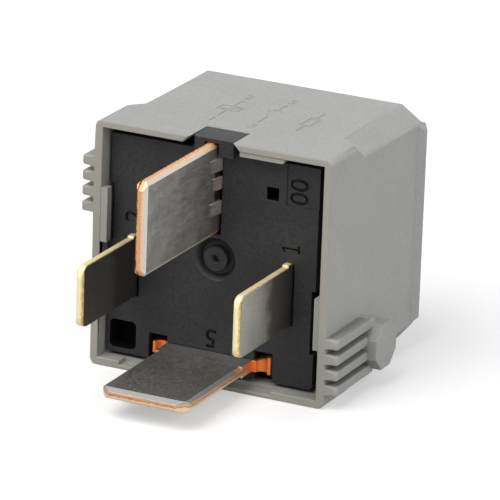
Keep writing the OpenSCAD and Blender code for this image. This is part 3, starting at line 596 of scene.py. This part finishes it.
# Terminals
# Four blades stamped from sheet that was plated before it was cut: the faces are dull tin,
# and the sheared edges show the copper or brass inside, in a smooth band and a torn one.
# The blades are pressed into the base.
TIN = (0.56, 0.555, 0.53, 1)
TIN_DULL = (0.40, 0.395, 0.37, 1)
TIN_BRIGHT = (0.64, 0.625, 0.58, 1)
TIN_BROWN = (0.41, 0.392, 0.358, 1)
TIN_CUT = (0.37, 0.368, 0.362, 1)
# Painted shade for the tin near the roots of blades 1, 2 and 3, for the dark recess and base they face
# and reflect
TIN_ROOT_SHADE = (0.20, 0.19, 0.175, 1)
# Painted shadow between the stakes of blade 3; the stakes themselves get a painted highlight
TIN_PAINTED_SHADOW = (0.07, 0.06, 0.05, 1)
SPOT_SHADE = 0.55
STAKE_TIN_HIGHLIGHT = (0.60, 0.585, 0.55, 1)
STAKE_BARE = (0.72, 0.58, 0.47, 1)
COPPER = (0.70, 0.40, 0.22, 1)
COPPER_LIGHT = (0.76, 0.57, 0.40, 1)
COPPER_TORN = (0.40, 0.16, 0.07, 1)
# A darker stripe along the cut edges of blade 3
COPPER_DARK_STRIPE = (0.11, 0.042, 0.02, 1)
# A deeper orange for bare copper inside the mouth, a painted reflection of the dark recess
COPPER_RECESS_REFLECTION = (0.86, 0.30, 0.09, 1)
BRASS = (0.80, 0.62, 0.24, 1)
BRASS_LIGHT = (0.87, 0.80, 0.55, 1)
BRASS_TORN = (0.48, 0.34, 0.10, 1)
LOAD_T = 1.2
LOAD_X = -0.25
COIL_T = 0.8
COIL_X = (8.05, -8.85)
# Where the tone at a blade's root starts and where it is complete, inwards from the mouth
LOAD_ROOT = (-4.5, 1.4)
COIL_ROOT = (-4.2, -3.0)
LUG_FROM = 4.8
STAKES_LOW = 19.0
STAKES_HIGH = 22.1
BARE_STAKE_LOW = 20.2
BARE_STAKE_HIGH = 21.5
BLADE_EDGE = 0.05 * MM
COIL_EDGE = 0.16 * MM
RAMP_SMOOTH = math.radians(17)
SHEET_CLOUD = (0.5, 4, 0.6)
SHEET_WORN = (2.6, 4, 0.7)
SHEET_SPOTS = (4.0, 4, 0.75)
SCRATCHES = (1.0, 3, 0.7)
SCRATCH_SHARE = 0.5
ROOT_WAVE = 0.7
TORN_WAVE = 0.09
SHEET_RELIEF = 0.004 * MM
PLATED_FACE = (0.9, 0.94)
LEVEL_FACE = (0.955, 0.985)
CUT_FACE = (0.86, 0.94)
NEVER = 9

# Bands on the cut edges, from 0 to 1 across the thickness of the sheet
torn_copper = [
    (0.0, COPPER),
    (0.20, COPPER),
    (0.24, COPPER_DARK_STRIPE),
    (0.30, COPPER_DARK_STRIPE),
    (0.36, COPPER),
    (0.64, COPPER),
    (0.74, COPPER_LIGHT),
    (0.84, COPPER_LIGHT),
]
ragged_copper = [
    (0.0, COPPER),
    (0.10, COPPER_LIGHT),
    (0.44, COPPER_LIGHT),
    (0.50, COPPER_TORN),
    (0.60, COPPER),
    (0.72, COPPER),
]
sheared_brass = [
    (0.0, BRASS_TORN),
    (0.14, BRASS),
    (0.26, BRASS_LIGHT),
    (0.74, BRASS_LIGHT),
    (0.86, BRASS),
    (1.0, BRASS_TORN),
]


def bands(tree, value, stops):
    """Colours along a value from 0 to 1, each running softly into the next."""
    ramp = shader_node(tree, "ValToRGB", {"Fac": value})
    strip = ramp.color_ramp
    strip.elements[0].position, strip.elements[0].color = stops[0]
    strip.elements[1].position, strip.elements[1].color = stops[-1]
    for position, colour in stops[1:-1]:
        strip.elements.new(position).color = colour
    return ramp.outputs[0]


def scratched(tree, place, streak):
    """Fine scratches, stretched along the way in which the metal was rolled or brushed."""
    drawn = shader_node(tree, "Mapping", {"Vector": place, "Scale": streak}).outputs[0]
    return noise(tree, drawn, *SCRATCHES)


def past_mouth(tree, parts, low, high, to_low=0, to_high=1):
    """Maps the way in through the mouth of the cover, which is at 0."""
    return between(tree, parts.outputs["Y"], mouth_y / MM + low, mouth_y / MM + high, to_low, to_high)


def staked(tree, parts, up, top, face):
    """Stakes swaged from the base hold the blade: they stand above its face at top, and one has
    lost its tin. The raised stakes are painted a brighter tin, a painted highlight, and between them
    the face is painted dark, a painted shadow."""
    height = parts.outputs["Z"]
    stake_shadow = product(
        tree,
        past_mouth(tree, parts, 0.3, 0.5),
        between(tree, height, STAKES_LOW, STAKES_LOW + 0.1),
        between(tree, height, STAKES_HIGH, STAKES_HIGH + 0.1, 1, 0),
        between(tree, up, top - 0.1, top - 0.05),
    )
    face = blend_colours(tree, stake_shadow, face, TIN_PAINTED_SHADOW)
    bare_one = product(
        tree,
        between(tree, height, BARE_STAKE_LOW - 0.05, BARE_STAKE_LOW),
        between(tree, height, BARE_STAKE_HIGH, BARE_STAKE_HIGH + 0.05, 1, 0),
    )
    stake_tone = blend_colours(tree, bare_one, STAKE_TIN_HIGHLIGHT, STAKE_BARE)
    raised = between(tree, up, top + 0.02, top + 0.1)
    return blend_colours(tree, raised, face, stake_tone), raised


def lugs_bare(tree, parts, inside, plated):
    """The lugs beside the root of the blade are cut bare."""
    beside = calculated(tree, "SUBTRACT", parts.outputs["X"], LOAD_X)
    beside = calculated(tree, "ABSOLUTE", beside)
    on_lugs = product(tree, inside, between(tree, beside, LUG_FROM, LUG_FROM + 0.1))
    return between(tree, calculated(tree, "SUBTRACT", plated, on_lugs), 0, 1)


def plated_sheet(
    name,
    across,
    low,
    thickness,
    edge_bands,
    plated_from,
    tin,
    dull,
    bevel_tin,
    roughness,
    streak,
    root_tone,
    root_share,
    root_span,
    mottle,
    edge_dullness,
    inner_edge_reflection=None,
    has_stakes=False,
    has_lugs=False,
):
    """Plated sheet between low and low + thickness along one axis: tin on its two faces, and bare metal
    in bands on its cut edges, over which the tin is drawn from plated_from on."""
    finish, tree, shader, place = new_finish(name)
    facing = shader_node(tree, "TexCoord").outputs["Normal"]
    facing = shader_node(tree, "SeparateXYZ", {"Vector": facing}).outputs[across]
    flat = calculated(tree, "ABSOLUTE", facing)
    parts = shader_node(tree, "SeparateXYZ", {"Vector": place})
    up = parts.outputs[across]
    cloud = noise(tree, place, *SHEET_CLOUD)
    worn = noise(tree, place, *SHEET_WORN)
    fine = noise(tree, place, *SHEET_SPOTS)
    scratch = scratched(tree, place, streak)

    depth = between(tree, up, low, low + thickness)
    ragged = calculated(tree, "ADD", depth, between(tree, worn, 0.3, 0.7, -TORN_WAVE, TORN_WAVE))
    drawn_over = between(tree, ragged, plated_from, plated_from + 0.05)
    drawn_over = product(tree, drawn_over, past_mouth(tree, parts, -2.4, -1.6, 1, 0))
    plated = calculated(tree, "MAXIMUM", between(tree, flat, *PLATED_FACE), drawn_over)

    face = blend_colours(tree, between(tree, cloud, 0.35, 0.7), tin, dull)
    face = blend_colours(tree, between(tree, scratch, 0.5, 0.8, 0, 0.7), face, dull)
    spotted = between(tree, fine, 0.42, 0.62, 0, mottle)
    face = blend_colours(tree, spotted, face, darkened(dull, SPOT_SHADE))
    # Towards the root the face turns to root_tone; on blades 1, 2 and 3 this is painted shade
    wave = between(tree, cloud, 0.3, 0.7, -ROOT_WAVE, ROOT_WAVE)
    along = calculated(tree, "ADD", parts.outputs["Y"], wave)
    root_low, root_high = root_span
    at_root = between(tree, along, mouth_y / MM + root_low, mouth_y / MM + root_high, 0, root_share)
    face = blend_colours(tree, at_root, face, root_tone)
    covered = blend_colours(tree, between(tree, flat, *LEVEL_FACE), bevel_tin, face)
    if has_stakes:
        covered, raised = staked(tree, parts, up, low + thickness, covered)
        plated = calculated(tree, "MAXIMUM", plated, raised)

    bare = bands(tree, ragged, edge_bands)
    inside = past_mouth(tree, parts, -0.2, 0.6)
    # Inside the mouth the bare edges and lugs are painted a deeper orange, a painted reflection of the
    # dark recess
    if inner_edge_reflection:
        bare = blend_colours(tree, inside, bare, inner_edge_reflection)
    if has_lugs:
        plated = lugs_bare(tree, parts, inside, plated)
    tree.links.new(blend_colours(tree, plated, bare, covered), shader.inputs["Base Color"])
    shader.inputs["Metallic"].default_value = 1
    rough = between(tree, scratch, 0.25, 0.75, roughness - 0.08, roughness + 0.08)
    rough = calculated(tree, "ADD", rough, between(tree, flat, *CUT_FACE, edge_dullness, 0))
    tree.links.new(rough, shader.inputs["Roughness"])
    roughened(tree, shader, scratch, SHEET_RELIEF, SCRATCH_SHARE)
    return finish


blade_3_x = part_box("load_terminal_3")[0].x / MM
blade_5_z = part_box("load_terminal_5")[0].z / MM
upright_copper = plated_sheet(
    "tinned_copper_upright",
    across="X",
    low=blade_3_x,
    thickness=LOAD_T,
    edge_bands=torn_copper,
    plated_from=0.84,
    tin=TIN,
    dull=TIN_DULL,
    bevel_tin=TIN_BRIGHT,
    roughness=0.50,
    streak=(3, 0.6, 5),
    root_tone=TIN_ROOT_SHADE,
    root_share=0.6,
    root_span=LOAD_ROOT,
    mottle=0.25,
    edge_dullness=0.14,
    inner_edge_reflection=COPPER_RECESS_REFLECTION,
    has_stakes=True,
)
# Blade 5's tin is darker and browner than blade 3's: partly its own mottled tin, partly a painted shade
# for the dark base its top reflects
flat_copper = plated_sheet(
    "tinned_copper_flat",
    across="Z",
    low=blade_5_z,
    thickness=LOAD_T,
    edge_bands=ragged_copper,
    plated_from=0.70,
    tin=TIN_DULL,
    dull=TIN_BROWN,
    bevel_tin=TIN_CUT,
    roughness=0.46,
    streak=(2.2, 2.6, 2.4),
    root_tone=TIN,
    root_share=0.8,
    root_span=LOAD_ROOT,
    mottle=0.8,
    edge_dullness=0.14,
    inner_edge_reflection=COPPER_RECESS_REFLECTION,
    has_lugs=True,
)
for number, finish in (("3", upright_copper), ("5", flat_copper)):
    blade = edged_copy("load_terminal_" + number, "load_blade_" + number, BLADE_EDGE)
    finished(blade, "housing", "tinned_copper", finish, smooth=RAMP_SMOOTH)
# Blade 1 gets a bright tin and blade 2 a dark one: a painted highlight and a painted shade of the same
# tinned brass
for number, x, tin, dull in (
    ("1", COIL_X[0], TIN_BRIGHT, TIN),
    ("2", COIL_X[1], TIN_DULL, TIN_BROWN),
):
    blade = edged_copy("coil_terminal_" + number, "coil_blade_" + number, COIL_EDGE)
    brass = plated_sheet(
        "tinned_brass_" + number,
        across="X",
        low=x - COIL_T / 2,
        thickness=COIL_T,
        edge_bands=sheared_brass,
        plated_from=NEVER,
        tin=tin,
        dull=dull,
        bevel_tin=TIN,
        roughness=0.36,
        streak=(3, 4, 0.7),
        root_tone=TIN_ROOT_SHADE,
        root_share=0.8,
        root_span=COIL_ROOT,
        mottle=0.35,
        edge_dullness=0.30,
    )
    finished(blade, "housing", "tinned_brass", brass)

# Magnet system
# A folded steel yoke, a turned steel core riveted into it and a hinged steel armature.
# The steel is zinc plated and lightly brushed; the rivets are plain bright steel.
ZINC = (0.56, 0.57, 0.58, 1)
ZINC_DULL = (0.38, 0.39, 0.40, 1)
STEEL = (0.62, 0.62, 0.62, 1)
STEEL_DULL = (0.45, 0.45, 0.45, 1)
METAL_CLOUD = (0.45, 4, 0.6)
METAL_RELIEF = 0.003 * MM


def worked_metal(name, bright, dull, roughness, streak):
    """Metal with a worked surface: cloudy plating and fine scratches along one direction."""
    finish, tree, shader, place = new_finish(name)
    cloud = noise(tree, place, *METAL_CLOUD)
    scratch = scratched(tree, place, streak)
    tone = blend_colours(tree, between(tree, cloud, 0.3, 0.7), bright, dull)
    tree.links.new(tone, shader.inputs["Base Color"])
    shader.inputs["Metallic"].default_value = 1
    uneven = between(tree, scratch, 0.2, 0.8, roughness - 0.1, roughness + 0.1)
    tree.links.new(uneven, shader.inputs["Roughness"])
    roughened(tree, shader, scratch, METAL_RELIEF, SCRATCH_SHARE)
    return finish


plated_steel = worked_metal("plated_steel", ZINC, ZINC_DULL, 0.36, (5, 0.7, 5))
rivet_steel = worked_metal("rivet_steel", STEEL, STEEL_DULL, 0.28, (3, 3, 3))
for node, name, edge, body, slot, finish in (
    ("yoke", "steel_yoke", 0.12, "housing", "plated_steel", plated_steel),
    ("core", "steel_core", 0.10, "housing", "plated_steel", plated_steel),
    ("armature", "steel_armature", 0.10, "armature_unit", "plated_steel", plated_steel),
    ("yoke_rivets", "yoke_rivet_pair", 0.06, "housing", "rivet_steel", rivet_steel),
    ("armature_rivets", "armature_rivet_pair", 0.06, "armature_unit", "rivet_steel", rivet_steel),
):
    finished(edged_copy(node, name, edge * MM), body, slot, finish)

# Bobbin and winding
# The bobbin is moulded in a natural, ivory-coloured plastic and carries the enamelled wire.
# The outer layer is wound turn by turn, close together, on top of the layers below it.
IVORY = (0.62, 0.58, 0.48, 1)
IVORY_SHADE = (0.55, 0.51, 0.41, 1)
ENAMEL = (0.42, 0.115, 0.04, 1)
ENAMEL_DARK = (0.25, 0.06, 0.02, 1)
BOBBIN_EDGE = 0.08 * MM
WIRE_R = 0.14 * MM
WIRE_PITCH = 0.30 * MM
WIRE_SIDES = 8
TURN_STEPS = 32


def solid_finished(node, finish):
    """Gives one of the frame's solids its finish and leaves its shape as it is."""
    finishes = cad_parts[node].data.materials
    finishes.clear()
    finishes.append(finish)


bobbin_plastic = moulded_plastic(
    "bobbin_plastic",
    IVORY,
    IVORY_SHADE,
    roughness=0.4,
    grain_height=0.008 * MM,
    specular=0.5,
)
ivory_bobbin = edged_copy("bobbin", "ivory_bobbin", BOBBIN_EDGE)
finished(ivory_bobbin, "housing", "bobbin_plastic", bobbin_plastic)
enamelled_wire = worked_metal("enamelled_wire", ENAMEL, ENAMEL_DARK, 0.25, (2, 2, 2))
solid_finished("coil_winding", enamelled_wire)
low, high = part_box("coil_winding")
middle = (low + high) / 2
wound_r = (high.x - low.x) / 2
turns = int((high.y - low.y - 2 * WIRE_R) / WIRE_PITCH)
bpy.ops.object.select_all(action="DESELECT")
bpy.ops.mesh.primitive_circle_add(
    vertices=WIRE_SIDES,
    radius=WIRE_R,
    fill_type="NGON",
    location=(wound_r, 0, 0),
)
outer_layer = bpy.context.object
outer_layer.name = "winding_outer_layer"
bpy.ops.object.transform_apply(location=True)
apply_modifier(
    outer_layer,
    "SCREW",
    axis="Y",
    screw_offset=WIRE_PITCH,
    iterations=turns,
    steps=TURN_STEPS,
    render_steps=TURN_STEPS,
    use_normal_calculate=True,
)
outer_layer.data.transform(Matrix.Translation((middle.x, low.y + WIRE_R, middle.z)))
all_merged(outer_layer, MERGED_WITHIN)
finished(outer_layer, "housing", "enamelled_wire", enamelled_wire)

# Contacts and spring
# Silver contact rivets: one in the arm of terminal 5, one in the bronze strip on the armature.
# The strip is hinge and return spring in one. Its leg is riveted to the yoke and its leaf
# to the armature; in the relay it bends between the two, here it is one fixed shape that no body
# carries.
SILVER = (0.78, 0.77, 0.74, 1)
SILVER_DULL = (0.60, 0.58, 0.54, 1)
BRONZE = (0.68, 0.42, 0.20, 1)
BRONZE_DULL = (0.52, 0.30, 0.13, 1)
CONTACT_EDGE = 0.08 * MM

contact_silver = worked_metal("contact_silver", SILVER, SILVER_DULL, 0.3, (3, 3, 3))
spring_bronze = worked_metal("spring_bronze", BRONZE, BRONZE_DULL, 0.28, (5, 5, 0.6))
for node, name, body in (
    ("fixed_contact", "fixed_silver_contact", "housing"),
    ("moving_contact", "moving_silver_contact", "armature_unit"),
):
    finished(edged_copy(node, name, CONTACT_EDGE), body, "contact_silver", contact_silver)

bronze_strip = merged_copy("contact_spring", "bronze_strip")
finished(bronze_strip, None, "spring_bronze", spring_bronze)
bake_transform(bronze_strip)

# Coil suppression
# A resistor with round end caps lies between the posts of the coil blades, soldered by its wires.
# The coil's own wire ends run to the same posts.
LACQUER = (0.10, 0.17, 0.30, 1)
LACQUER_SHADE = (0.08, 0.14, 0.25, 1)
SOLDER = (0.66, 0.66, 0.66, 1)
SOLDER_DULL = (0.48, 0.48, 0.49, 1)
RESISTOR_EDGE = 0.08 * MM

resistor_lacquer = moulded_plastic(
    "resistor_lacquer",
    LACQUER,
    LACQUER_SHADE,
    roughness=0.25,
    grain_height=0.004 * MM,
    specular=0.5,
)
tinned_wire = worked_metal("tinned_wire", SOLDER, SOLDER_DULL, 0.3, (3, 3, 3))
lacquered_resistor = edged_copy("resistor_body", "lacquered_resistor", RESISTOR_EDGE)
finished(lacquered_resistor, "housing", "resistor_lacquer", resistor_lacquer)
for node, finish in (
    ("coil_lead_1", enamelled_wire),
    ("coil_lead_2", enamelled_wire),
    ("resistor_lead_1", tinned_wire),
    ("resistor_lead_2", tinned_wire),
):
    solid_finished(node, finish)

# Studio
# A plain white floor under two large soft lamps, in a room of even white light.
# What the camera and the metal see of the room is white; the floor keeps the relay's shadow.
FLOOR_SIZE = 6
FLOOR_BOUNCE = (0.5, 0.5, 0.5, 1)
FLOOR_SEEN = (0.8, 0.8, 0.8, 1)
FLOOR_LIFT = 0.36
ROOM_LIGHT = 0.28
WHITE = (1, 1, 1, 1)
studio_lamps = [
    ("lamp_left", (-0.25, -0.50, 0.80), 0.8, 7.2),
    ("lamp_right", (0.80, -0.20, 0.38), 0.7, 3.45),
]


def seen_share(tree):
    """1 for what the camera, the metal and clear pieces see, 0 for the light on the relay."""
    rays = shader_node(tree, "LightPath")
    seen = rays.outputs["Is Camera Ray"]
    for kind in ("Is Glossy Ray", "Is Transmission Ray"):
        seen = calculated(tree, "MAXIMUM", seen, rays.outputs[kind])
    return seen


bpy.ops.object.select_all(action="DESELECT")
bpy.ops.mesh.primitive_plane_add(size=FLOOR_SIZE, location=(0, 0, 0))
floor = bpy.context.object
floor.name = "studio_floor"
floor_finish = bpy.data.materials.new("floor_white")
tree = empty_tree(floor_finish)
floor_tone = blend_colours(tree, seen_share(tree), FLOOR_BOUNCE, FLOOR_SEEN)
floor_shader = shader_node(tree, "BsdfDiffuse", {"Color": floor_tone})
camera_sees = shader_node(tree, "LightPath").outputs["Is Camera Ray"]
lift = between(tree, camera_sees, 0, 1, 0, FLOOR_LIFT)
floor_white = shader_node(tree, "Emission", {"Color": WHITE, "Strength": lift})
lifted = shader_node(tree, "AddShader", {0: floor_shader.outputs[0], 1: floor_white.outputs[0]})
shader_node(tree, "OutputMaterial", {"Surface": lifted.outputs[0]})
floor.data.materials.append(floor_finish)

world = bpy.data.worlds.new("studio_room")
bpy.context.scene.world = world
tree = empty_tree(world)
strength = between(tree, seen_share(tree), 0, 1, ROOM_LIGHT, 1)
room = shader_node(tree, "Background", {"Color": WHITE, "Strength": strength})
shader_node(tree, "OutputWorld", {"Surface": room.outputs[0]})

for name, place, size, watts in studio_lamps:
    bpy.ops.object.select_all(action="DESELECT")
    bpy.ops.object.light_add(type="AREA", location=place)
    lamp = bpy.context.object
    lamp.name = name
    lamp.data.shape = "SQUARE"
    lamp.data.size = size
    lamp.data.energy = watts
    lamp.rotation_euler = (-lamp.location).to_track_quat("-Z", "Y").to_euler()

bpy.context.scene.view_settings.view_transform = "Standard"
